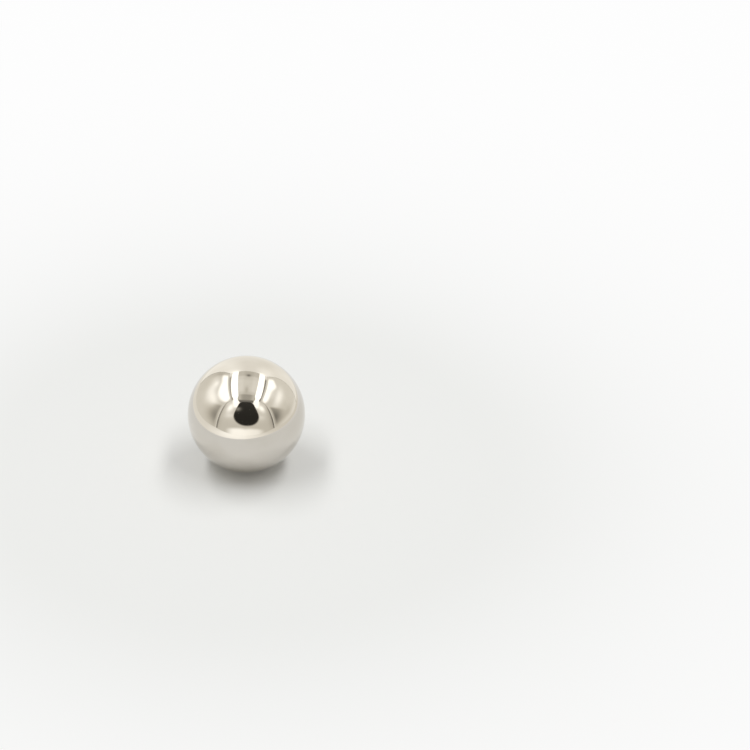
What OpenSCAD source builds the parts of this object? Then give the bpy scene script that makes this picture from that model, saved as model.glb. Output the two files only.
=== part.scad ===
// Steel ball: one solid sphere, ground and lapped round with no flat, seam or bore.
// The origin is the ball's centre and +Z is up, so the ball meets the seat that
// carries it at one point, at z = -ball_d / 2.

/* [Ball] */
// Diameter of the ball, in millimetres
ball_d = 25.4; // [3:0.1:51]

/* [Hidden] */
// Flats round the ball's equator where it is drawn with facets
ball_facets = 96;

// The ball: a true sphere about the origin, in polished steel
module ball() {
    color("silver")
        sphere(d = ball_d, $fn = ball_facets);
}

ball();
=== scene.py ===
"""A polished steel ball on a pale floor, in the soft light of a folding light tent.

Everything is in metres, about the ball's centre: +X is to the right, +Y away from
the camera and +Z up. The ball is one mesh. The studio is the camera, the floor, the
tent that shows in the steel, the lamps and the world.
"""

import math
from collections import namedtuple

import bpy
from mathutils import Matrix, Vector


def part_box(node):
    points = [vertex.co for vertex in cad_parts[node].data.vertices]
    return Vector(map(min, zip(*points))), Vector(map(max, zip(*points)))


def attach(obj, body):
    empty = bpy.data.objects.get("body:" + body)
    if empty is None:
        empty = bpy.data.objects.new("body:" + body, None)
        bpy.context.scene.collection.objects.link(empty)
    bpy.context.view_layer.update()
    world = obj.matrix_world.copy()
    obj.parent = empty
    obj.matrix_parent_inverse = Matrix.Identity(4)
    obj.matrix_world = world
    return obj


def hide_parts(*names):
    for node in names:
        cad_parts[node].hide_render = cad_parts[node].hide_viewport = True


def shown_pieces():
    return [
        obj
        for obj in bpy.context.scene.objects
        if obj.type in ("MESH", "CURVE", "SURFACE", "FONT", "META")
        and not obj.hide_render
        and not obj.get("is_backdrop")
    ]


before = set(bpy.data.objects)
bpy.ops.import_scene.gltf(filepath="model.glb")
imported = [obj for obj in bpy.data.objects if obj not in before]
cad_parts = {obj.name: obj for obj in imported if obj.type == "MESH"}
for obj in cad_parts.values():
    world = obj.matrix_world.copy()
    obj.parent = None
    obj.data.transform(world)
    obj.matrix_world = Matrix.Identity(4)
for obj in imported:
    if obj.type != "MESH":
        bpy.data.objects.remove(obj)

bl_info = {
    "name": "Steel Ball",
    "version": (1, 0, 0),
    "blender": (4, 5, 0),
    "location": "3D View > Sidebar > Steel Ball",
    "description": "Builds a polished steel ball and the light tent it stands in",
    "category": "Add Mesh",
}

BALL = "ball"
FRAME_PIXELS = 750
BALL_LOW, BALL_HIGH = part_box(BALL)
BALL_RADIUS = (BALL_HIGH[2] - BALL_LOW[2]) / 2


# ---------------------------------------------------------------- shader maths


class Signal:
    """One output of a shader node; sums and products written on it become nodes."""

    def __init__(self, paint, socket):
        self.paint = paint
        self.socket = socket

    def out(self, name):
        """Another output of the same node."""
        return Signal(self.paint, find_socket(self.socket.node.outputs, name))

    def maths(self, operation, *values):
        """Adds the Math node, or the Vector Math node, that works out an operation."""
        kind = "ShaderNodeVectorMath" if is_vector(values) else "ShaderNodeMath"
        return self.paint.node(kind, {"operation": operation}, dict(enumerate(values)))

    def __add__(self, other):
        return self.maths("ADD", self, other)

    def __radd__(self, other):
        return self.maths("ADD", other, self)

    def __sub__(self, other):
        return self.maths("SUBTRACT", self, other)

    def __rsub__(self, other):
        return self.maths("SUBTRACT", other, self)

    def __mul__(self, other):
        return self.maths("MULTIPLY", self, other)

    def __rmul__(self, other):
        return self.maths("MULTIPLY", other, self)

    def __truediv__(self, other):
        return self.maths("DIVIDE", self, other)

    def __rtruediv__(self, other):
        return self.maths("DIVIDE", other, self)

    def __pow__(self, other):
        return self.maths("POWER", self, other)

    def __neg__(self):
        return self.maths("MULTIPLY", self, -1.0)

    def __abs__(self):
        return self.maths("ABSOLUTE", self)


def is_vector(values):
    """Whether a sum holds a vector or a colour, and so needs Vector Math."""
    for value in values:
        if isinstance(value, Signal) and value.socket.type in {"VECTOR", "RGBA"}:
            return True
        if isinstance(value, (tuple, Vector)):
            return True
    return False


def find_socket(sockets, key):
    """A node's socket by its place, its identifier or its name."""
    if isinstance(key, int):
        return sockets[key]
    for socket in sockets:
        if socket.identifier == key:
            return socket
    for socket in sockets:
        if socket.name == key and socket.enabled:
            return socket
    raise KeyError(f"no socket called {key}")


def between(one, other, amount):
    """one where amount is 0, other where it is 1, and a share of both between."""
    return one * (1 - amount) + other * amount


# A smooth step: where it starts and ends, and what it adds past its end.
Step = namedtuple("Step", "start end strength")

# A soft oval patch: its middle, its spread, its tilt in degrees, and what it adds.
Patch = namedtuple("Patch", "centre spread turn strength")

# Soft random clouds: how many lie in a metre, how many finer layers they have, and how
# strong each of those is beside the one before.
Clouds = namedtuple("Clouds", "scale detail roughness")


class Paint:
    """A material's or the world's node tree, filled in by one method."""

    def __init__(self, owner):
        owner.use_nodes = True
        self.tree = owner.node_tree
        self.tree.nodes.clear()

    def node(self, kind, settings=None, values=None, out=0):
        """Adds a node, sets it up, joins its inputs and returns one of its outputs."""
        made = self.tree.nodes.new(kind)
        for name, setting in (settings or {}).items():
            setattr(made, name, setting)
        for key, value in (values or {}).items():
            socket = find_socket(made.inputs, key)
            if isinstance(value, Signal):
                self.tree.links.new(value.socket, socket)
            elif socket.type == "VECTOR" and isinstance(value, (int, float)):
                socket.default_value = (value, value, value)
            else:
                socket.default_value = value
        return Signal(self, find_socket(made.outputs, out)) if made.outputs else made

    def place(self):
        """Where the shaded point is, in metres about the ball's centre."""
        return self.node("ShaderNodeNewGeometry", out="Position")

    def split(self, vector):
        """The three parts of a vector."""
        parts = self.node("ShaderNodeSeparateXYZ", values={0: vector})
        return parts, parts.out("Y"), parts.out("Z")

    def length(self, vector):
        settings = {"operation": "LENGTH"}
        return self.node("ShaderNodeVectorMath", settings, {0: vector}, out="Value")

    def unit(self, vector):
        settings = {"operation": "NORMALIZE"}
        return self.node("ShaderNodeVectorMath", settings, {0: vector})

    def cross(self, one, other):
        settings = {"operation": "CROSS_PRODUCT"}
        return self.node("ShaderNodeVectorMath", settings, {0: one, 1: other})

    def dot(self, one, other):
        settings = {"operation": "DOT_PRODUCT"}
        return self.node("ShaderNodeVectorMath", settings, {0: one, 1: other}, out="Value")

    def most(self, one, other):
        """The greater of two numbers."""
        return self.node("ShaderNodeMath", {"operation": "MAXIMUM"}, {0: one, 1: other})

    def rise(self, value, low, high):
        """0 where value is below low, 1 above high, and a smooth step between."""
        settings = {"interpolation_type": "SMOOTHSTEP"}
        span = {"Value": value, "From Min": low, "From Max": high}
        return self.node("ShaderNodeMapRange", settings, span)

    def fall(self, value, low, high):
        """1 where value is below low, 0 above high, and a smooth step between."""
        return 1 - self.rise(value, low, high)

    def step(self, value, step):
        """What a step adds at value."""
        return self.rise(value, step.start, step.end) * step.strength

    def bell(self, value, centre, spread):
        """1 where value is at centre, fading to 0 on both sides."""
        off = (value - centre) / spread
        return self.node("ShaderNodeMath", {"operation": "EXPONENT"}, {0: -(off * off)})

    def patch(self, across, up, patch):
        """What an oval patch adds at a point: all of it in the middle, and less outwards."""
        tilt = math.radians(patch.turn)
        side, rise = across - patch.centre[0], up - patch.centre[1]
        along = (side * math.cos(tilt) + rise * math.sin(tilt)) / patch.spread[0]
        over = (rise * math.cos(tilt) - side * math.sin(tilt)) / patch.spread[1]
        fade = -(along * along + over * over)
        return self.node("ShaderNodeMath", {"operation": "EXPONENT"}, {0: fade}) * patch.strength

    def noise(self, vector, clouds, out="Fac"):
        """Soft random clouds, as a number or as a colour."""
        values = {
            "Vector": vector,
            "Scale": clouds.scale,
            "Detail": clouds.detail,
            "Roughness": clouds.roughness,
        }
        return self.node("ShaderNodeTexNoise", None, values, out=out)

    def mix(self, amount, one, other):
        """A colour between one, where amount is 0, and other, where it is 1."""
        settings = {"data_type": "RGBA"}
        values = {"Factor_Float": amount, "A_Color": one, "B_Color": other}
        return self.node("ShaderNodeMix", settings, values, out="Result_Color")

    def finish(self, kind, surface):
        """Joins the last shader to the material's or the world's output."""
        self.node(kind, None, {"Surface": surface})


def colour(values):
    """A property's red, green and blue as a socket takes them."""
    return (*values, 1.0)


# --------------------------------------------------------------------- settings


class SteelBallLook(bpy.types.PropertyGroup):
    """The ball's mesh and the finish of its steel."""

    segments: bpy.props.IntProperty(
        name="Segments",
        description="Faces along each side of the six fields that make the sphere",
        default=64, min=8, max=180,
    )
    steel: bpy.props.FloatVectorProperty(
        name="Steel",
        description="Colour of the steel",
        default=(0.685, 0.650, 0.600), subtype="COLOR", size=3, min=0.0, max=1.0,
    )
    clouded: bpy.props.FloatVectorProperty(
        name="Clouded Steel",
        description="Colour of the steel in the soft clouds that vary its tint",
        default=(0.655, 0.617, 0.560), subtype="COLOR", size=3, min=0.0, max=1.0,
    )
    gloss: bpy.props.FloatProperty(
        name="Roughness",
        description="Roughness of the lapped and polished steel",
        default=0.035, min=0.0, max=1.0, subtype="FACTOR",
    )
    haze: bpy.props.FloatProperty(
        name="Haze",
        description="Roughness that is added where the polish is a little softer",
        default=0.020, min=0.0, max=1.0, subtype="FACTOR",
    )
    lap_depth: bpy.props.FloatProperty(
        name="Lapping Depth",
        description="Depth of the finest lines that lapping leaves",
        default=0.0000003, min=0.0, max=0.0001, unit="LENGTH", precision=7,
    )


class SteelBallStudio(bpy.types.PropertyGroup):
    """The camera, the floor and the light tent."""

    lens: bpy.props.FloatProperty(
        name="Lens",
        description="Focal length of the camera, in millimetres",
        default=96.0, min=10.0, max=300.0, unit="CAMERA",
    )
    elevation: bpy.props.FloatProperty(
        name="Elevation",
        description="How far the camera looks down from the level",
        default=math.radians(32.3), subtype="ANGLE",
    )
    roll: bpy.props.FloatProperty(
        name="Roll",
        description="How far the camera is turned about the line it looks along",
        default=math.radians(1.83), subtype="ANGLE",
    )
    ball_across: bpy.props.FloatProperty(
        name="Ball Across",
        description="Pixels from the frame's left edge to the ball's middle",
        default=246.5, min=0.0, max=750.0, subtype="PIXEL",
    )
    ball_down: bpy.props.FloatProperty(
        name="Ball Down",
        description="Pixels from the frame's top edge to the ball's middle",
        default=414.0, min=0.0, max=750.0, subtype="PIXEL",
    )
    ball_pixels: bpy.props.FloatProperty(
        name="Ball Pixels",
        description="The ball's width in the frame, in pixels",
        default=117.0, min=10.0, max=750.0, subtype="PIXEL",
    )
    floor: bpy.props.FloatVectorProperty(
        name="Floor",
        description="Colour of the pale floor",
        default=(0.93, 0.935, 0.915), subtype="COLOR", size=3, min=0.0, max=1.0,
    )
    fabric: bpy.props.FloatVectorProperty(
        name="Fabric",
        description="Colour of the tent's white lining where it is well lit",
        default=(1.0, 0.99, 0.94), subtype="COLOR", size=3, min=0.0, max=1.0,
    )
    shade: bpy.props.FloatVectorProperty(
        name="Shade",
        description="Colour of the tent's lining where little light falls on it",
        default=(1.0, 0.955, 0.84), subtype="COLOR", size=3, min=0.0, max=1.0,
    )
    tent_height: bpy.props.FloatProperty(
        name="Tent Height",
        description="Height of the tent's ceiling above the ball's centre",
        default=0.26, min=0.05, max=2.0, unit="LENGTH",
    )
    tent_width: bpy.props.FloatProperty(
        name="Tent Width",
        description="Distance between the tent's side walls",
        default=0.30, min=0.05, max=2.0, unit="LENGTH",
    )
    tent_shift: bpy.props.FloatProperty(
        name="Tent Shift",
        description="How far the tent's middle lies to the right of the ball",
        default=0.010, min=-0.5, max=0.5, unit="LENGTH",
    )
    tent_front: bpy.props.FloatProperty(
        name="Tent Front",
        description="Distance from the ball's centre to the tent's front wall",
        default=0.104, min=0.03, max=1.0, unit="LENGTH",
    )
    tent_back: bpy.props.FloatProperty(
        name="Tent Back",
        description="Distance from the ball's centre to the back of the tent's ceiling",
        default=0.18, min=0.05, max=1.0, unit="LENGTH",
    )
    strip_place: bpy.props.FloatProperty(
        name="Strip Place",
        description="Distance from the ceiling's middle line to each light strip's",
        default=0.1055, min=0.01, max=0.5, unit="LENGTH",
    )
    left_strip: bpy.props.FloatProperty(
        name="Left Strip",
        description="Width of the left light strip in the ceiling",
        default=0.058, min=0.005, max=0.5, unit="LENGTH",
    )
    right_strip: bpy.props.FloatProperty(
        name="Right Strip",
        description="Width of the right light strip in the ceiling",
        default=0.056, min=0.005, max=0.5, unit="LENGTH",
    )
    strip_glare: bpy.props.FloatProperty(
        name="Strip Glare",
        description="Brightness of the strips, on the scale of the tent's walls",
        default=1.9, min=0.0, max=10.0,
    )
    tent_light: bpy.props.FloatProperty(
        name="Tent Light",
        description="What a brightness of 1 on the tent's walls shows as, where white is 1",
        default=1.11, min=0.0, max=10.0,
    )
    lamp_light: bpy.props.FloatProperty(
        name="Lamp Light",
        description="Share of the light on the floor that comes from the two strips",
        default=0.65, min=0.0, max=1.0, subtype="FACTOR",
    )


# ------------------------------------------------------------------------- ball

# The six fields of the sphere: where each faces, and which way its across and up run.
FIELDS = (
    (Vector((1, 0, 0)), Vector((0, 1, 0)), Vector((0, 0, 1))),
    (Vector((0, 1, 0)), Vector((-1, 0, 0)), Vector((0, 0, 1))),
    (Vector((-1, 0, 0)), Vector((0, -1, 0)), Vector((0, 0, 1))),
    (Vector((0, -1, 0)), Vector((1, 0, 0)), Vector((0, 0, 1))),
    (Vector((0, 0, 1)), Vector((1, 0, 0)), Vector((0, 1, 0))),
    (Vector((0, 0, -1)), Vector((1, 0, 0)), Vector((0, -1, 0))),
)
# How the fields lie side by side in the map, and the share of each that its gap takes.
MAP_COLUMNS = 3
MAP_ROWS = 2
MAP_GAP = 0.012
# Corners of two fields are one corner where they agree to one part in this many.
CORNER_STEPS = 1e6


def sphere_mesh(name, radius, segments):
    """A true sphere in six fields of nearly even squares, each with its own map."""
    corners, faces, spots = [], [], []
    known = {}

    def corner(direction):
        key = tuple(round(part * CORNER_STEPS) for part in direction)
        if key not in known:
            known[key] = len(corners)
            corners.append(direction * radius)
        return known[key]

    for number, (face, across, up) in enumerate(FIELDS):
        column, row = number % MAP_COLUMNS, number // MAP_COLUMNS
        grid = []
        for j in range(segments + 1):
            grid.append([])
            for i in range(segments + 1):
                side = math.tan((i / segments * 2 - 1) * math.pi / 4)
                rise = math.tan((j / segments * 2 - 1) * math.pi / 4)
                grid[j].append(corner((face + across * side + up * rise).normalized()))
        for j in range(segments):
            for i in range(segments):
                ring = ((i, j), (i + 1, j), (i + 1, j + 1), (i, j + 1))
                faces.append([grid[b][a] for a, b in ring])
                for a, b in ring:
                    u = MAP_GAP + a / segments * (1 - 2 * MAP_GAP)
                    v = MAP_GAP + b / segments * (1 - 2 * MAP_GAP)
                    spots.append(((column + u) / MAP_COLUMNS, (row + v) / MAP_ROWS))

    mesh = bpy.data.meshes.new(name)
    mesh.from_pydata(corners, [], faces)
    layer = mesh.uv_layers.new(name="OFBake")
    for loop, spot in zip(layer.data, spots):
        loop.uv = spot
    mesh.polygons.foreach_set("use_smooth", [True] * len(faces))
    mesh.normals_split_custom_set_from_vertices([spot.normalized() for spot in corners])
    mesh.update()
    return mesh


# Straight lines that lapping leaves, one to a cell: the cell's size, the lines' width and
# reach, where their pattern starts, and how strong they are.
LappingLines = namedtuple("LappingLines", "cell width reach shift strength")
LONG_LINES = LappingLines(0.0070, 0.000040, 0.0042, (0.11, 0.07, 0.05), 0.7)
SHORT_LINES = LappingLines(0.0030, 0.000030, 0.0014, (0.31, 0.23, 0.41), 0.5)
# A line is full over these shares of its width and its reach, and fades out beyond them.
FULL_WIDTH = 0.2
FULL_REACH = 0.4
# What the lines add to the roughness; the clouds that bend them, and how far.
LINE_ROUGHNESS = 0.02
BEND_CLOUDS = Clouds(160.0, 1.0, 0.5)
BEND = 0.0008
# The clouds that vary the tint and the polish, and how much of them counts as cloud.
TINT_CLOUDS = Clouds(110.0, 3.0, 0.5)
TINT_EDGE = (0.36, 0.64)
POLISH_CLOUDS = Clouds(70.0, 4.0, 0.6)
POLISH_EDGE = (0.47, 0.66)
# The middle of what a random colour can be.
MIDDLE_GREY = (0.5, 0.5, 0.5)


def lapping_lines(paint, place, lines):
    """Fine straight lines, one to a cell, each lying its own way on the sphere."""
    spot = place + lines.shift
    cells = paint.node(
        "ShaderNodeTexVoronoi",
        {"voronoi_dimensions": "3D", "feature": "F1"},
        {"Vector": spot, "Scale": 1 / lines.cell, "Randomness": 1.0},
        out="Position",
    )
    away = spot - cells
    lean = paint.cross(paint.unit(place), cells.out("Color") - MIDDLE_GREY)
    beside = abs(paint.dot(away, paint.unit(lean)))
    line = paint.fall(beside, lines.width * FULL_WIDTH, lines.width)
    line = line * paint.fall(paint.length(away), lines.reach * FULL_REACH, lines.reach)
    return line * lines.strength


def polished_steel(look):
    """Lapped steel, clean and new: a near mirror whose polish varies very slightly."""
    material = bpy.data.materials.new("polished_steel")
    paint = Paint(material)
    place = paint.node("ShaderNodeTexCoord", out="Object")

    bent = place + (paint.noise(place, BEND_CLOUDS, "Color") - MIDDLE_GREY) * BEND
    lines = lapping_lines(paint, bent, LONG_LINES) + lapping_lines(paint, bent, SHORT_LINES)
    clouds = paint.rise(paint.noise(place, TINT_CLOUDS), *TINT_EDGE)
    softer = paint.rise(paint.noise(place, POLISH_CLOUDS), *POLISH_EDGE)

    steel = paint.mix(clouds, colour(look.steel), colour(look.clouded))
    roughness = look.gloss + softer * look.haze + lines * LINE_ROUGHNESS
    bump = paint.node(
        "ShaderNodeBump",
        None,
        {"Height": -lines, "Distance": look.lap_depth, "Strength": 1.0},
    )
    shader = paint.node(
        "ShaderNodeBsdfPrincipled",
        None,
        {"Base Color": steel, "Metallic": 1.0, "Roughness": roughness, "Normal": bump},
    )
    paint.finish("ShaderNodeOutputMaterial", shader)
    return material


class STEELBALL_OT_ball(bpy.types.Operator):
    """Builds the ball in place of its solid and gives it polished steel"""

    bl_idname = "steelball.ball"
    bl_label = "Build Ball"

    def execute(self, context):
        look = context.scene.steel_ball_look
        mesh = sphere_mesh("steel_ball", BALL_RADIUS, look.segments)
        mesh.materials.append(polished_steel(look))
        ball = bpy.data.objects.new("steel_ball", mesh)
        context.scene.collection.objects.link(ball)
        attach(ball, "root")
        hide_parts(BALL)
        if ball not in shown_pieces():
            raise RuntimeError("the ball isn't shown")
        return {"FINISHED"}


# ----------------------------------------------------------------------- studio

# How far the floor reaches, and how many sides its round rim has.
FLOOR_REACH = 1.8
FLOOR_SIDES = 96
# The floor fades to white between these two distances from the ball's centre, faster
# near the ball than further out.
FADE_FROM = 0.055
FADE_TO = 0.26
# Brightness of the white round everything.
WHITE = 0.985
# The lamps are the tent's two strips, made this many times as large and as far away.
FAR_SCALE = 4.0
# The tent's lining: the soft creases painted in light and shade, by how much they vary
# its brightness, and the brightnesses between which its colour turns from shade to fabric.
CREASE_CLOUDS = Clouds(22.0, 2.0, 0.5)
CREASE_DEPTH = 0.08
TINT_TURN = (0.45, 1.25)


def sheet_mesh(name, rows):
    """An open sheet through rows of points, each row as long as the next."""
    corners = [spot for row in rows for spot in row]
    wide = len(rows[0])
    faces = []
    for j in range(len(rows) - 1):
        for i in range(wide - 1):
            low = j * wide + i
            faces.append((low, low + 1, low + 1 + wide, low + wide))
    mesh = bpy.data.meshes.new(name)
    mesh.from_pydata(corners, [], faces)
    mesh.polygons.foreach_set("use_smooth", [True] * len(faces))
    mesh.update()
    return mesh


def add_to_stage(name, mesh, material):
    """Adds a mesh that is studio and not ball."""
    thing = bpy.data.objects.new(name, mesh)
    mesh.materials.append(material)
    bpy.context.scene.collection.objects.link(thing)
    thing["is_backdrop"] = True
    return thing


def show_in_steel_only(thing):
    """The tent is there to be mirrored: it hides no light and isn't seen itself."""
    thing.visible_camera = False
    thing.visible_diffuse = False
    thing.visible_transmission = False
    thing.visible_volume_scatter = False
    thing.visible_shadow = False


def fabric_with_painted_light(name, studio, level):
    """Tent lining that glows in painted light and shade; level says how bright each point is."""
    material = bpy.data.materials.new(name)
    material.cycles.emission_sampling = "NONE"
    paint = Paint(material)
    place = paint.place()
    # Painted light and shade of the lining's soft creases.
    creases = 1 + (paint.noise(place, CREASE_CLOUDS) - 0.5) * CREASE_DEPTH
    light = level(paint, *paint.split(place)) * creases
    # Dimmer painted light turns the lining's colour towards the shade colour.
    turned = paint.rise(light, *TINT_TURN)
    tint = paint.mix(turned, colour(studio.shade), colour(studio.fabric))
    scaled = {0: tint, "Scale": light * studio.tent_light}
    shine = paint.node("ShaderNodeVectorMath", {"operation": "SCALE"}, scaled)
    # The lining shows its painted light and shade only as emission.
    cloth = {
        "Base Color": (0.0, 0.0, 0.0, 1.0),
        "Roughness": 1.0,
        "Specular IOR Level": 0.0,
        "Emission Color": shine,
        "Emission Strength": 1.0,
    }
    shader = paint.node("ShaderNodeBsdfPrincipled", None, cloth)
    paint.finish("ShaderNodeOutputMaterial", shader)
    return material


# The crease by a front corner: its height level with the ball, how much that climbs for
# each metre towards the back, and how deep the painted shade below it is.
Crease = namedtuple("Crease", "height slope depth")

# A region about the window's middle line: half its width at a height, how much that
# grows for each metre up, and where its sides and its foot fade.
Slant = namedtuple("Slant", "half height growth sides foot")

# Rows of faces up a wall or along a cord, and faces round the cloth and round a cord.
WALL_ROWS = 26
CLOTH_SIDES = 96
CORD_SIDES = 8
NEARLY_ZERO = 1e-6


class Tent:
    """The folding light tent: where its walls are, and how bright each one is.

    Brightness is painted light and shade, in units of the studio's tent_light. The painted
    light of the two strips in the ceiling lies on the tops of the side walls and on the front
    beside its window; the lining's softer painted glow lies lower down, and painted shade
    below the creases at the front corners leaves the side walls darker there. The values that
    make a wall stand above its method, in metres and brightness, and a pair is where a soft
    edge starts and ends.
    """

    # The front stands upright to this height, bends outwards over the next stretch, and
    # leans out by this much for each metre above that.
    LEAN_FROM = 0.13
    LEAN_BEND = 0.05
    LEAN = 0.40
    # How far the side walls run on behind the ceiling.
    SIDE_OVERRUN = 0.04
    # How far forward the hung sheet's foot sweeps on the left, how much further it does
    # on the right, and the powers that its sweep and the spacing of its rows follow.
    SWEEP_LEFT = 0.02
    SWEEP_GAIN = 0.06
    SWEEP_POWER = 3
    ROWS_POWER = 1.4
    # The cloth on the tent's floor lies round an opening, and is this thick.
    OPENING_MIDDLE = (0.018, 0.018)
    OPENING_RADIUS = 0.080
    CLOTH_THICKNESS = 0.0003
    # The piping down the front corners, and the hems down the hung sheet's sides.
    PIPING_RADIUS = 0.0036
    LEFT_HEM_RADIUS = 0.0024
    RIGHT_HEM_RADIUS = 0.0015

    def __init__(self, studio):
        self.studio = studio
        self.middle = studio.tent_shift
        self.half = studio.tent_width / 2
        self.top = studio.tent_height
        self.foot = -BALL_RADIUS
        self.front = -studio.tent_front
        self.back = studio.tent_back

    # Places: s runs from left to right, or from front to back, and t runs upwards.

    def front_at(self, z):
        over = max(0.0, z - self.LEAN_FROM)
        bend = min(over, self.LEAN_BEND)
        return self.front - self.LEAN * (over - bend + bend * bend / (2 * self.LEAN_BEND))

    def height_at(self, t):
        return self.foot + (self.top - self.foot) * t

    def across_at(self, s):
        return self.middle + self.half * (2 * s - 1)

    def on_ceiling(self, s, t):
        edge = self.front_at(self.top)
        return Vector((self.across_at(s), edge + (self.back - edge) * t, self.top))

    def on_side(self, sign, s, t):
        z = self.height_at(t)
        edge = self.front_at(z)
        y = edge + (self.back + self.SIDE_OVERRUN - edge) * s
        return Vector((self.middle + sign * self.half, y, z))

    def on_front(self, s, t):
        z = self.height_at(t)
        return Vector((self.across_at(s), self.front_at(z), z))

    def on_sheet(self, s, t):
        """The hung sheet falls from the ceiling's back edge and sweeps forward."""
        sweep = self.SWEEP_LEFT + self.SWEEP_GAIN * s
        y = self.back - sweep * (1 - t) ** self.SWEEP_POWER
        return Vector((self.across_at(s), y, self.height_at(t**self.ROWS_POWER)))

    def on_cloth(self, s, t):
        """The cloth round the opening, out to the foot of the walls."""
        x, y = self.OPENING_MIDDLE
        turn = math.tau * s
        aside, ahead = math.cos(turn), math.sin(turn)
        side = self.half + (self.middle - x) * math.copysign(1.0, aside)
        end = self.back - y if ahead > 0 else y - self.front
        to_side = side / max(abs(aside), NEARLY_ZERO)
        to_end = end / max(abs(ahead), NEARLY_ZERO)
        away = self.OPENING_RADIUS + (min(to_side, to_end) - self.OPENING_RADIUS) * t
        return Vector((x + aside * away, y + ahead * away, self.foot + self.CLOTH_THICKNESS))

    # Painted brightness at a point x, y, z. First that of the plain walls, and of the painted
    # light from the strips.

    LINING = 0.80
    LIT = 1.60

    def patches(self, paint, across, up, patches):
        """The sum of a wall's soft patches of painted light and shade."""
        return sum(paint.patch(across, up, patch) for patch in patches)

    # The ceiling's panel: its brightness by the middle line, and what it gains further
    # out, towards the back, at the very back and towards the front. Last comes the band
    # along the front edge, and the share of it that is lost beside the strips.
    PANEL = 0.81
    PANEL_OUTER = Step(0.020, 0.050, 0.08)
    PANEL_BEHIND = Step(0.040, 0.080, -0.05)
    PANEL_BACK = Step(0.090, 0.120, -0.15)
    PANEL_AHEAD = Step(0.045, 0.080, -0.12)
    PANEL_BAND = Step(0.082, 0.094, -0.25)
    BAND_LOSS = Step(0.040, 0.062, -0.6)
    CEILING_PATCHES = (
        Patch((0.010, 0.111), (0.016, 0.018), 0, -0.40),
        Patch((0.006, -0.042), (0.015, 0.030), 0, -0.19),
    )
    # The strips: how far their middle line lies to the right of the tent's middle; for
    # each metre towards the front, how far they run apart and how much wider each half
    # of them grows; what each half gains at the very front; how soft their edges are;
    # and the turn from left to right at the middle line.
    STRIP_SHIFT = 0.0015
    STRIP_SPLAY = 0.008
    STRIP_FLARE = 0.025
    STRIP_NECK = Step(0.096, 0.132, -0.011)
    STRIP_EDGE = (-0.002, 0.002)
    MIDDLE_EDGE = (-0.001, 0.001)
    # The dark trim beyond each strip: its brightness on the right, what the left one has
    # more, its edge, and where it fades out towards the back.
    TRIM = 0.33
    LEFT_TRIM_GAIN = 0.17
    TRIM_EDGE = (0.0, 0.003)
    TRIM_FADE = (0.105, 0.145)

    def ceiling(self, paint, x, y, z):
        """A panel down the middle, a bright strip on each side, and trim beyond those."""
        off_middle = x - self.middle - self.STRIP_SHIFT
        aside = abs(off_middle)
        panel = self.PANEL + paint.step(aside, self.PANEL_OUTER)
        panel = panel + paint.step(y, self.PANEL_BACK) + paint.step(-y, self.PANEL_AHEAD)
        band = paint.step(-y, self.PANEL_BAND) * (1 + paint.step(aside, self.BAND_LOSS))
        panel = panel + band + paint.step(y, self.PANEL_BEHIND)
        panel = panel + self.patches(paint, x, y, self.CEILING_PATCHES)

        on_right = paint.rise(off_middle, *self.MIDDLE_EDGE)
        left, right = self.studio.left_strip / 2, self.studio.right_strip / 2
        half = left + (right - left) * on_right - self.STRIP_FLARE * y
        half = half + paint.step(-y, self.STRIP_NECK)
        off_strip = aside - self.studio.strip_place + self.STRIP_SPLAY * y
        strip = paint.fall(abs(off_strip) - half, *self.STRIP_EDGE)
        beyond = paint.rise(off_strip - half, *self.TRIM_EDGE)
        trim = self.TRIM + self.LEFT_TRIM_GAIN * (1 - on_right)
        trim = trim + (1 - trim) * paint.rise(y, *self.TRIM_FADE)
        return between(between(panel, trim, beyond), self.studio.strip_glare, strip)

    # The painted light on the top of a side wall: how soft it is along its lower and its
    # upper edge, and where it fades at the front and at the back.
    LIT_LOW_EDGE = (-0.018, 0.018)
    LIT_HIGH_EDGE = (-0.014, 0.004)
    LIT_FRONT = (-0.130, -0.095)
    LIT_BACK = (0.115, 0.160)
    # The painted shade below a crease: how softly it starts, where along the wall it is
    # deepest and how far it spreads, and where it fades at the front and by the floor.
    CREASE_SHADE_EDGE = (0.0, 0.024)
    CREASE_SHADE_MIDDLE = -0.068
    CREASE_SHADE_SPREAD = 0.045
    CREASE_SHADE_FRONT = (-0.098, -0.080)
    CREASE_SHADE_FLOOR = (-0.020, 0.045)

    def side(self, paint, y, z, edge, top, crease, patches):
        """A side wall: painted light from its edge to its top, painted shade below its crease."""
        lit = paint.rise(z - edge, *self.LIT_LOW_EDGE) * paint.fall(z - top, *self.LIT_HIGH_EDGE)
        lit = lit * paint.rise(y, *self.LIT_FRONT) * paint.fall(y, *self.LIT_BACK)
        below = crease.height + crease.slope * y - z
        crease_shade = paint.rise(below, *self.CREASE_SHADE_EDGE)
        crease_shade = crease_shade * paint.bell(y, self.CREASE_SHADE_MIDDLE, self.CREASE_SHADE_SPREAD)
        crease_shade = crease_shade * paint.rise(y, *self.CREASE_SHADE_FRONT) * paint.rise(z, *self.CREASE_SHADE_FLOOR)
        plain = self.LINING + self.patches(paint, y, z, patches) - crease.depth * crease_shade
        return between(plain, self.LIT, lit)

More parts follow.
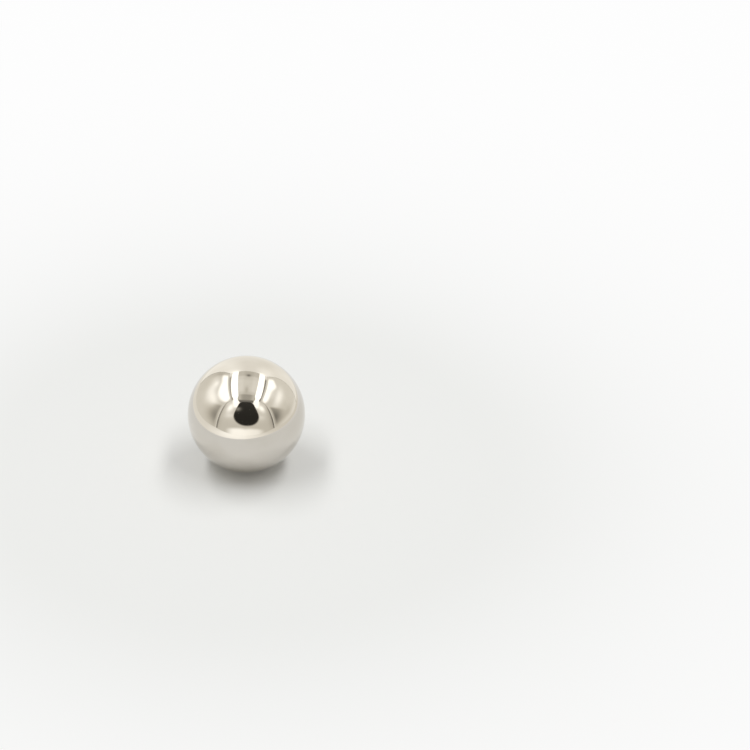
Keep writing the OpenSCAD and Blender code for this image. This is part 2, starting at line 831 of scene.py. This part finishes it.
    # The lower edge of the left wall's lit top: its height by the front, how much it
    # climbs to the back, and where and how sharply it turns up towards the front.
    LEFT_EDGE = 0.121
    LEFT_CLIMB = Step(-0.020, 0.075, 0.044)
    LEFT_TURN = -0.025
    LEFT_CURL = 8.0
    LEFT_TOP = 0.241
    LEFT_CREASE = Crease(0.064, -0.68, 0.36)
    LEFT_PATCHES = (
        Patch((-0.013, 0.081), (0.043, 0.030), -14, 0.48),
        Patch((0.046, 0.096), (0.052, 0.034), 56, 0.34),
        Patch((0.066, 0.120), (0.020, 0.020), 0, 0.20),
        Patch((0.100, 0.105), (0.034, 0.034), 0, 0.15),
        Patch((0.155, 0.140), (0.022, 0.060), 0, -0.20),
        Patch((-0.095, 0.020), (0.030, 0.060), 0, -0.14),
    )

    def left_side(self, paint, x, y, z):
        near = paint.most(self.LEFT_TURN - y, 0.0)
        edge = self.LEFT_EDGE + paint.step(y, self.LEFT_CLIMB) + self.LEFT_CURL * near * near
        return self.side(paint, y, z, edge, self.LEFT_TOP, self.LEFT_CREASE, self.LEFT_PATCHES)

    # The right wall's edge dips at one place, by this much and over this spread, and it
    # turns up at both ends. Behind, the wall is lighter, and so is its foot.
    RIGHT_EDGE = 0.165
    RIGHT_DIP = 0.024
    RIGHT_DIP_MIDDLE = 0.068
    RIGHT_DIP_SPREAD = 0.035
    RIGHT_FRONT_TURN = -0.055
    RIGHT_FRONT_CURL = 7.0
    RIGHT_BACK_TURN = 0.110
    RIGHT_BACK_CURL = 9.0
    RIGHT_TOP = 0.236
    RIGHT_CREASE = Crease(0.040, -1.0, 0.44)
    RIGHT_BEHIND = Step(0.010, 0.050, 0.05)
    RIGHT_FOOT = 0.11
    RIGHT_FOOT_EDGE = (-0.006, 0.012)
    RIGHT_PATCHES = (
        Patch((0.010, 0.096), (0.060, 0.026), 4, 0.48),
        Patch((0.000, 0.148), (0.040, 0.018), 0, 0.16),
        Patch((-0.095, 0.020), (0.030, 0.060), 0, -0.22),
        Patch((0.010, 0.016), (0.045, 0.014), 0, -0.09),
    )

    def right_side(self, paint, x, y, z):
        near = paint.most(self.RIGHT_FRONT_TURN - y, 0.0)
        far = paint.most(y - self.RIGHT_BACK_TURN, 0.0)
        dip = self.RIGHT_DIP * paint.bell(y, self.RIGHT_DIP_MIDDLE, self.RIGHT_DIP_SPREAD)
        edge = self.RIGHT_EDGE - dip
        edge = edge + self.RIGHT_FRONT_CURL * near * near + self.RIGHT_BACK_CURL * far * far
        wall = self.side(paint, y, z, edge, self.RIGHT_TOP, self.RIGHT_CREASE, self.RIGHT_PATCHES)
        foot = self.RIGHT_FOOT * paint.fall(z, *self.RIGHT_FOOT_EDGE)
        return wall + foot + paint.step(y, self.RIGHT_BEHIND)

    # The front's lining: where it is darker by the floor and by how much, and what it
    # gains high up. Then its fold on each side: how far out, its edge and its shade.
    FRONT_LOW = (0.015, 0.060)
    FRONT_LOW_SHADE = 0.08
    FRONT_HIGH = Step(0.110, 0.145, 0.09)
    FOLD_PLACE = 0.140
    FOLD_EDGE = (0.003, 0.013)
    FOLD_SHADE = 0.32
    # Patches of painted light and shade, across from the front's middle to the left and right.
    FRONT_LEFT_PATCHES = (
        Patch((0.085, 0.107), (0.020, 0.029), 0, 0.70),
        Patch((0.070, 0.059), (0.026, 0.011), 0, 0.17),
        Patch((0.150, 0.050), (0.034, 0.070), 0, -0.14),
    )
    FRONT_RIGHT_PATCHES = (
        Patch((0.081, 0.109), (0.021, 0.024), 0, 0.78),
        Patch((0.058, 0.053), (0.020, 0.012), 0, 0.14),
        Patch((0.145, 0.050), (0.040, 0.070), 0, -0.26),
    )
    # The painted light from the strips on both sides of the window, and the flap over it in
    # painted shade: its brightness at a height, and what that gains for each metre up.
    STRIP_LIGHT = Slant(0.069, 0.120, 0.45, (-0.010, 0.010), (0.096, 0.116))
    FLAP = Slant(0.041, 0.150, 0.36, (-0.005, 0.005), (0.146, 0.156))
    FLAP_SHADE = 0.15
    FLAP_SHADE_HEIGHT = 0.155
    FLAP_GAIN = 2.0

    def front_wall(self, paint, x, y, z):
        """Lining with a window, in painted light beside it and painted shade over it."""
        off_fold = abs(abs(x - self.middle) - self.FOLD_PLACE)
        on_left = self.patches(paint, self.middle - x, z, self.FRONT_LEFT_PATCHES)
        on_right = self.patches(paint, x - self.middle, z, self.FRONT_RIGHT_PATCHES)
        lining = self.LINING + on_left + on_right
        lining = lining - self.FRONT_LOW_SHADE * paint.fall(z, *self.FRONT_LOW)
        lining = lining + paint.step(z, self.FRONT_HIGH)
        lining = lining - self.FOLD_SHADE * paint.fall(off_fold, *self.FOLD_EDGE)
        lining = lining + self.crescent(paint, x, z)

        lining = between(lining, self.LIT, self.slant(paint, x, z, self.STRIP_LIGHT))
        dark = self.FLAP_SHADE + self.FLAP_GAIN * (z - self.FLAP_SHADE_HEIGHT)
        lining = between(lining, dark, self.slant(paint, x, z, self.FLAP))
        return between(lining, self.dark_room(paint, x, z), self.window(paint, x, z))

    def slant(self, paint, x, z, slant):
        """1 inside a region with slanting sides, and 0 outside."""
        half = slant.half + slant.growth * (z - slant.height)
        off_side = abs(x - self.WINDOW_MIDDLE) - half
        return paint.fall(off_side, *slant.sides) * paint.rise(z, *slant.foot)

    # The crescent of painted light under the window. Its upper edge falls away from its
    # highest point, by the bow times the distance squared, and has a small notch.
    CRESCENT_PEAK = -0.005
    CRESCENT_BOW = 2.2
    CRESCENT_EDGE = (0.0055, 0.0185)
    NOTCH_DEPTH = 0.002
    NOTCH_MIDDLE = 0.003
    NOTCH_SPREAD = 0.010
    # Its middle, half its length, how softly it ends, its brightness on the left, and
    # what it gains to the right.
    CRESCENT_MIDDLE = 0.004
    CRESCENT_HALF = 0.080
    CRESCENT_ENDS = (0.0, 0.045)
    CRESCENT_LIGHT = 0.59
    CRESCENT_GAIN = Step(-0.010, 0.050, -0.13)

    def crescent(self, paint, x, z):
        """What the crescent of painted light adds to the front's lining."""
        bow = x - self.CRESCENT_PEAK
        notch = self.NOTCH_DEPTH * paint.bell(x, self.NOTCH_MIDDLE, self.NOTCH_SPREAD)
        crescent = paint.fall(z + self.CRESCENT_BOW * bow * bow + notch, *self.CRESCENT_EDGE)
        to_end = self.CRESCENT_HALF - abs(x - self.CRESCENT_MIDDLE)
        crescent = crescent * paint.rise(to_end, *self.CRESCENT_ENDS)
        return crescent * (self.CRESCENT_LIGHT + paint.step(x, self.CRESCENT_GAIN))

    # The dark room: its brightness, what it gains high up, and the one thing in it.
    ROOM = 0.028
    ROOM_HIGH = Step(0.040, 0.150, 0.014)
    ROOM_THING = Patch((-0.031, 0.095), (0.013, 0.011), 0, 0.27)

    def dark_room(self, paint, x, z):
        """What shows through the window: a dark room, with one thing in it less dark."""
        return self.ROOM + paint.step(z, self.ROOM_HIGH) + paint.patch(x, z, self.ROOM_THING)

    # The window in the front: its middle, how far that has run to the right at its foot,
    # half its width at the widest, how fast it narrows upwards, and the heights of its
    # foot, its widest part, its shoulders and its top.
    WINDOW_MIDDLE = 0.0080
    WINDOW_SWAY = 0.003
    WINDOW_HALF = 0.0512
    WINDOW_TAPER = 0.160
    WINDOW_FOOT = 0.0230
    WINDOW_WAIST = 0.070
    WINDOW_SHOULDER = 0.138
    WINDOW_TOP = 0.157
    # The powers that round its outline: all along below the widest part, and at the
    # sides and the top of its shoulders. The outline is where their sum is about 1, and
    # the edge is how soft it is.
    LOW_POWER = 2.2
    SHOULDER_POWER = 4.0
    TOP_POWER = 2.0
    WINDOW_EDGE = (0.90, 1.26)

    def window(self, paint, x, z):
        """1 inside the window and 0 outside: round below, with rounded shoulders."""
        half = self.WINDOW_HALF - self.WINDOW_TAPER * paint.most(z - self.WINDOW_WAIST, 0.0)
        drop = (self.WINDOW_WAIST - z) / (self.WINDOW_WAIST - self.WINDOW_FOOT)
        drop = paint.most(drop, 0.0)
        side = abs(x - self.WINDOW_MIDDLE - self.WINDOW_SWAY * drop * drop) / half
        climb = (z - self.WINDOW_SHOULDER) / (self.WINDOW_TOP - self.WINDOW_SHOULDER)
        low_edge = side**self.LOW_POWER + drop**self.LOW_POWER
        high_edge = side**self.SHOULDER_POWER + paint.most(climb, 0.0) ** self.TOP_POWER
        return paint.fall(paint.most(low_edge, high_edge), *self.WINDOW_EDGE)

    # The hung sheet: its brightness down the middle, what it gains to the sides, and
    # the share that the left side gains on top of that. Then the painted light that it gains
    # high up at its sides, beside the strips and on the right.
    SHEET = 0.92
    SHEET_SIDES = Step(0.020, 0.090, 0.11)
    SHEET_LEFT = (-0.030, 0.030)
    SHEET_LEFT_SHARE = 0.4
    SHEET_HIGH = (0.130, 0.200)
    SHEET_HIGH_SIDES = Step(0.080, 0.130, 0.07)
    SHEET_BY_STRIPS = Patch((0.100, 0.270), (0.030, 0.045), 0, 0.50)
    SHEET_RIGHT = Patch((0.090, 0.165), (0.055, 0.050), 0, 0.10)

    def sheet(self, paint, x, y, z):
        aside = abs(x - self.middle)
        more_on_left = 1 + self.SHEET_LEFT_SHARE * paint.fall(x, *self.SHEET_LEFT)
        plain = self.SHEET + paint.step(aside, self.SHEET_SIDES) * more_on_left
        high = paint.rise(z, *self.SHEET_HIGH) * paint.step(aside, self.SHEET_HIGH_SIDES)
        by_strips = paint.patch(aside, z, self.SHEET_BY_STRIPS)
        return plain + high + by_strips + paint.patch(x, z, self.SHEET_RIGHT)

    # The cloth on the floor: its brightness, and what it gains by the front and on the
    # right.
    CLOTH = 0.90
    CLOTH_BY_FRONT = Patch((-0.022, -0.085), (0.062, 0.050), 0, 0.40)
    CLOTH_RIGHT = Step(0.030, 0.090, -0.08)

    def cloth(self, paint, x, y, z):
        by_front = paint.patch(x, y, self.CLOTH_BY_FRONT)
        return self.CLOTH + by_front + paint.step(x, self.CLOTH_RIGHT)

    # The light piping and the dark hems.
    PIPING = 0.85
    HEM = 0.36

    def piping(self, paint, x, y, z):
        return self.PIPING

    def hem(self, paint, x, y, z):
        return self.HEM


def wall_mesh(name, place, across=2, up=WALL_ROWS):
    """A wall as a sheet of rows of points, from the foot up."""
    rows = [
        [place(i / across, j / up) for i in range(across + 1)] for j in range(up + 1)
    ]
    return sheet_mesh(name, rows)


def cord_mesh(name, path, radius):
    """A thin round cord along a path of points."""
    rows = []
    for before, spot, after in zip(path[:1] + path[:-1], path, path[1:] + path[-1:]):
        along = (after - before).normalized()
        side = along.orthogonal().normalized()
        rise = along.cross(side)
        turns = [math.tau * k / CORD_SIDES for k in range(CORD_SIDES + 1)]
        rows.append([spot + (side * math.cos(a) + rise * math.sin(a)) * radius for a in turns])
    return sheet_mesh(name, rows)


def build_tent(studio):
    """The walls of the light tent, the cloth on its floor, its piping and its hems."""
    tent = Tent(studio)
    walls = (
        ("tent_ceiling", tent.on_ceiling, tent.ceiling),
        ("tent_left", lambda s, t: tent.on_side(-1, s, t), tent.left_side),
        ("tent_right", lambda s, t: tent.on_side(1, s, t), tent.right_side),
        ("tent_front", tent.on_front, tent.front_wall),
        ("tent_sheet", tent.on_sheet, tent.sheet),
    )
    for name, place, level in walls:
        material = fabric_with_painted_light(name, studio, level)
        show_in_steel_only(add_to_stage(name, wall_mesh(name, place), material))
    material = fabric_with_painted_light("tent_cloth", studio, tent.cloth)
    cloth = wall_mesh("tent_cloth", tent.on_cloth, CLOTH_SIDES, 1)
    show_in_steel_only(add_to_stage("tent_cloth", cloth, material))
    trims = (
        ("tent_piping_left", tent.on_front, tent.piping, 0.0, tent.PIPING_RADIUS),
        ("tent_piping_right", tent.on_front, tent.piping, 1.0, tent.PIPING_RADIUS),
        ("tent_hem_left", tent.on_sheet, tent.hem, 0.0, tent.LEFT_HEM_RADIUS),
        ("tent_hem_right", tent.on_sheet, tent.hem, 1.0, tent.RIGHT_HEM_RADIUS),
    )
    for name, place, level, s, radius in trims:
        path = [place(s, k / WALL_ROWS) for k in range(WALL_ROWS + 1)]
        material = fabric_with_painted_light(name, studio, level)
        show_in_steel_only(add_to_stage(name, cord_mesh(name, path, radius), material))


def build_floor(studio):
    """A pale floor that fades to plain white far out."""
    turns = [math.tau * i / FLOOR_SIDES for i in range(FLOOR_SIDES)]
    ring = [
        (FLOOR_REACH * math.cos(a), FLOOR_REACH * math.sin(a), -BALL_RADIUS) for a in turns
    ]
    mesh = bpy.data.meshes.new("floor")
    mesh.from_pydata(ring, [], [range(FLOOR_SIDES)])
    mesh.update()
    material = bpy.data.materials.new("pale_paper")
    material.cycles.emission_sampling = "NONE"
    paint = Paint(material)
    paper = paint.node("ShaderNodeBsdfDiffuse", None, {"Color": colour(studio.floor)})
    white = paint.node("ShaderNodeEmission", None, {"Color": (WHITE, WHITE, WHITE, 1.0)})
    near = paint.rise(1 / paint.length(paint.place()), 1 / FADE_TO, 1 / FADE_FROM)
    mixed = paint.node("ShaderNodeMixShader", None, {0: near, 1: white, 2: paper})
    paint.finish("ShaderNodeOutputMaterial", mixed)
    add_to_stage("floor", mesh, material)


def add_lamps(studio):
    """Two strip lamps, far enough away to light the whole floor alike."""
    width = (studio.left_strip + studio.right_strip) / 2 * FAR_SCALE
    length = (studio.tent_front + studio.tent_back) * FAR_SCALE
    height = studio.tent_height * FAR_SCALE
    for name, sign in (("lamp_left", -1), ("lamp_right", 1)):
        data = bpy.data.lights.new(name, "AREA")
        data.shape = "RECTANGLE"
        data.size = width
        data.size_y = length
        aside = sign * studio.strip_place * FAR_SCALE
        reach = math.hypot(aside, height + BALL_RADIUS)
        slope = (height + BALL_RADIUS) / reach
        # Light on the floor below is glare * area * slope^2 / reach^2.
        glare = studio.lamp_light / 2 * math.pi * reach**2 / (width * length * slope**2)
        data.energy = glare * math.pi * width * length
        lamp = bpy.data.objects.new(name, data)
        lamp.location = (aside, 0.0, height)
        lamp.visible_glossy = False
        lamp.visible_camera = False
        bpy.context.scene.collection.objects.link(lamp)


def add_world(studio):
    """Plain white to look at, and the rest of the floor's light all round."""
    world = bpy.data.worlds.new("studio_white")
    bpy.context.scene.world = world
    paint = Paint(world)
    path = paint.node("ShaderNodeLightPath", out="Is Camera Ray")
    seen = path + path.out("Is Glossy Ray") + path.out("Is Transmission Ray")
    seen = paint.node("ShaderNodeMath", {"operation": "MINIMUM"}, {0: seen, 1: 1.0})
    light = 1 - studio.lamp_light
    shade = paint.mix(seen, (light, light, light, 1.0), (WHITE, WHITE, WHITE, 1.0))
    paint.finish(
        "ShaderNodeOutputWorld",
        paint.node("ShaderNodeBackground", None, {"Color": shade, "Strength": 1.0}),
    )


def add_camera(studio):
    """Looks down on the ball, and holds it at its place in the square frame."""
    data = bpy.data.cameras.new("camera")
    data.lens = studio.lens
    data.sensor_width = 36.0
    data.clip_start = 0.01
    data.clip_end = 10.0
    focal = studio.lens / data.sensor_width * FRAME_PIXELS
    reach = BALL_RADIUS / math.sin(math.atan(studio.ball_pixels / 2 / focal))

    tilt, roll = studio.elevation, studio.roll
    toward = Vector((0.0, -math.cos(tilt), math.sin(tilt)))
    level = Vector((1.0, 0.0, 0.0))
    upright = Vector((0.0, math.sin(tilt), math.cos(tilt)))
    across = level * math.cos(roll) + upright * math.sin(roll)
    up = upright * math.cos(roll) - level * math.sin(roll)

    aside = (studio.ball_across - FRAME_PIXELS / 2) / focal
    above = (FRAME_PIXELS / 2 - studio.ball_down) / focal
    sight = (across * aside + up * above - toward).normalized()
    camera = bpy.data.objects.new("camera", data)
    turn = Matrix((across, up, toward)).transposed().to_4x4()
    camera.matrix_world = Matrix.Translation(sight * -reach) @ turn
    bpy.context.scene.collection.objects.link(camera)
    bpy.context.scene.camera = camera


class STEELBALL_OT_studio(bpy.types.Operator):
    """Builds the camera, the floor, the light tent, the lamps and the world"""

    bl_idname = "steelball.studio"
    bl_label = "Build Studio"

    def execute(self, context):
        studio = context.scene.steel_ball_studio
        context.scene.view_settings.view_transform = "Standard"
        add_camera(studio)
        build_floor(studio)
        build_tent(studio)
        add_lamps(studio)
        add_world(studio)
        if context.scene.camera is None:
            raise RuntimeError("the studio has no camera")
        return {"FINISHED"}


class STEELBALL_PT_panel(bpy.types.Panel):
    """Lists the ball and the studio in the sidebar"""

    bl_idname = "STEELBALL_PT_panel"
    bl_label = "Steel Ball"
    bl_space_type = "VIEW_3D"
    bl_region_type = "UI"
    bl_category = "Steel Ball"

    def draw(self, context):
        for settings in (context.scene.steel_ball_look, context.scene.steel_ball_studio):
            for name in settings.bl_rna.properties.keys():
                if name not in {"rna_type", "name"}:
                    self.layout.prop(settings, name)
        self.layout.operator(STEELBALL_OT_studio.bl_idname)
        self.layout.operator(STEELBALL_OT_ball.bl_idname)


CLASSES = (
    SteelBallLook,
    SteelBallStudio,
    STEELBALL_OT_ball,
    STEELBALL_OT_studio,
    STEELBALL_PT_panel,
)


def register():
    for one in CLASSES:
        bpy.utils.register_class(one)
    scene_type = bpy.types.Scene
    scene_type.steel_ball_look = bpy.props.PointerProperty(type=SteelBallLook)
    scene_type.steel_ball_studio = bpy.props.PointerProperty(type=SteelBallStudio)


def unregister():
    del bpy.types.Scene.steel_ball_studio
    del bpy.types.Scene.steel_ball_look
    for one in reversed(CLASSES):
        bpy.utils.unregister_class(one)


def main():
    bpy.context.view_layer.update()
    register()
    bpy.ops.steelball.studio()
    bpy.ops.steelball.ball()


if __name__ == "__main__":
    main()
